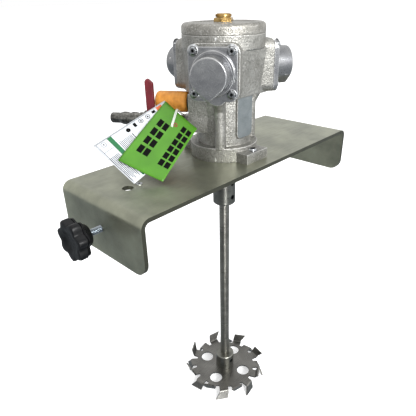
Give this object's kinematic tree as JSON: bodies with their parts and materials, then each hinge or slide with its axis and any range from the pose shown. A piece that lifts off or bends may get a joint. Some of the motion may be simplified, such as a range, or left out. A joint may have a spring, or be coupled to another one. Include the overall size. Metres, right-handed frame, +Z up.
{
  "type": "pneumatic drum mixer",
  "caption": "Air-driven mixer on a U-shaped clamp plate for an open drum: radial piston motor, long shaft, toothed dispersing disc, air valve and silencer.",
  "frame": {"origin": "on the drive shaft's axis, at the underside of the clamp plate, which rests on the drum's rim", "axes": "+Z up along the shaft, from the toothed disc to the motor's lid; +X along the plate, from the clamping screw's flange to the plain flange; +Y across the plate"},
  "size_m": [0.362, 0.1754, 0.4744],
  "materials": {
    "zinc_steel": "zinc plated sheet",
    "cast_aluminium": "as cast, lightly blasted",
    "black_rubber": "matt",
    "brass": "turned",
    "bright_steel": "bright",
    "dark_steel": "blackened",
    "cast_iron": "honed",
    "stainless_steel": "turned",
    "nickel": "nickel plated brass",
    "black_plastic": "fine grain",
    "orange_plastic": "sintered, matt",
    "red_vinyl": "dipped, soft",
    "green_card": "printed card",
    "paper_card": "printed leaflet in a clear pocket",
    "clear_plastic": "clear band",
    "gasket_fibre": "pressed fibre"
  },
  "bodies": {
    "stand": {"clamp_plate": "zinc_steel", "ground_rivet": "nickel", "motor_housing": "cast_aluminium", "motor_lid": "cast_aluminium", "lid_seal": "black_rubber", "breather_plug": "brass", "cylinder_head_1": "cast_aluminium", "cylinder_head_2": "cast_aluminium", "cylinder_head_3": "cast_aluminium", "head_gasket_1": "gasket_fibre", "head_gasket_2": "gasket_fibre", "head_gasket_3": "gasket_fibre", "cylinder_liner_1": "cast_iron", "cylinder_liner_2": "cast_iron", "cylinder_liner_3": "cast_iron", "head_screws": "bright_steel", "piston_1": "cast_aluminium", "piston_2": "cast_aluminium", "piston_3": "cast_aluminium", "piston_ring_1": "cast_iron", "piston_ring_2": "cast_iron", "piston_ring_3": "cast_iron", "connecting_rod_1": "bright_steel", "connecting_rod_2": "bright_steel", "connecting_rod_3": "bright_steel", "wrist_pins": "bright_steel", "bearing_outer_rings": "bright_steel", "shaft_seal": "black_rubber", "valve_sleeve": "cast_iron", "base_bolts": "bright_steel", "clamp_nut": "bright_steel", "silencer_adapter": "dark_steel", "silencer_body": "orange_plastic", "inlet_nipple": "nickel", "valve_body": "nickel", "quick_plug": "nickel", "inspection_tag": "green_card", "instruction_leaflet": "paper_card", "tag_tie": "clear_plastic"},
    "rotor": {"bearing_inner_rings": "bright_steel", "rotary_valve": "cast_iron", "crankshaft": "bright_steel", "crank_ring": "bright_steel", "shaft_coupling": "stainless_steel", "coupling_screws": "dark_steel", "mixing_shaft": "stainless_steel", "impeller_hub": "stainless_steel", "hub_screw": "dark_steel", "toothed_disc": "stainless_steel"},
    "lever": {"valve_ball": "nickel", "valve_stem": "nickel", "valve_lever": "bright_steel", "lever_grip": "red_vinyl", "lever_nut": "bright_steel"},
    "clamp_foot": {"clamp_pad": "bright_steel"},
    "clamp_spindle": {"clamp_screw": "bright_steel", "star_knob": "black_plastic"}
  },
  "joints": [
    {"name": "rotor_spin", "type": "hinge", "parent": "stand", "child": "rotor", "pos_m": [0, 0, 0], "axis": [0, 0, 1], "continuous": true},
    {"name": "valve_turn", "type": "hinge", "parent": "stand", "child": "lever", "pos_m": [-0.0383, 0.06634, 0.0373], "axis": [-0.866, -0.5, 0], "range_deg": [0, 90]},
    {"name": "pad_travel", "type": "slide", "parent": "stand", "child": "clamp_foot", "axis": [1, 0, 0], "range_m": [-0.017, 0.013]},
    {"name": "screw_turn", "type": "hinge", "parent": "clamp_foot", "child": "clamp_spindle", "pos_m": [-0.165, 0, -0.024], "axis": [1, 0, 0], "range_deg": [-6120, 4680]}
  ],
  "couplings": [
    {"joint": "pad_travel", "follows": "screw_turn", "m_per_rad": 0.00015915}
  ]
}
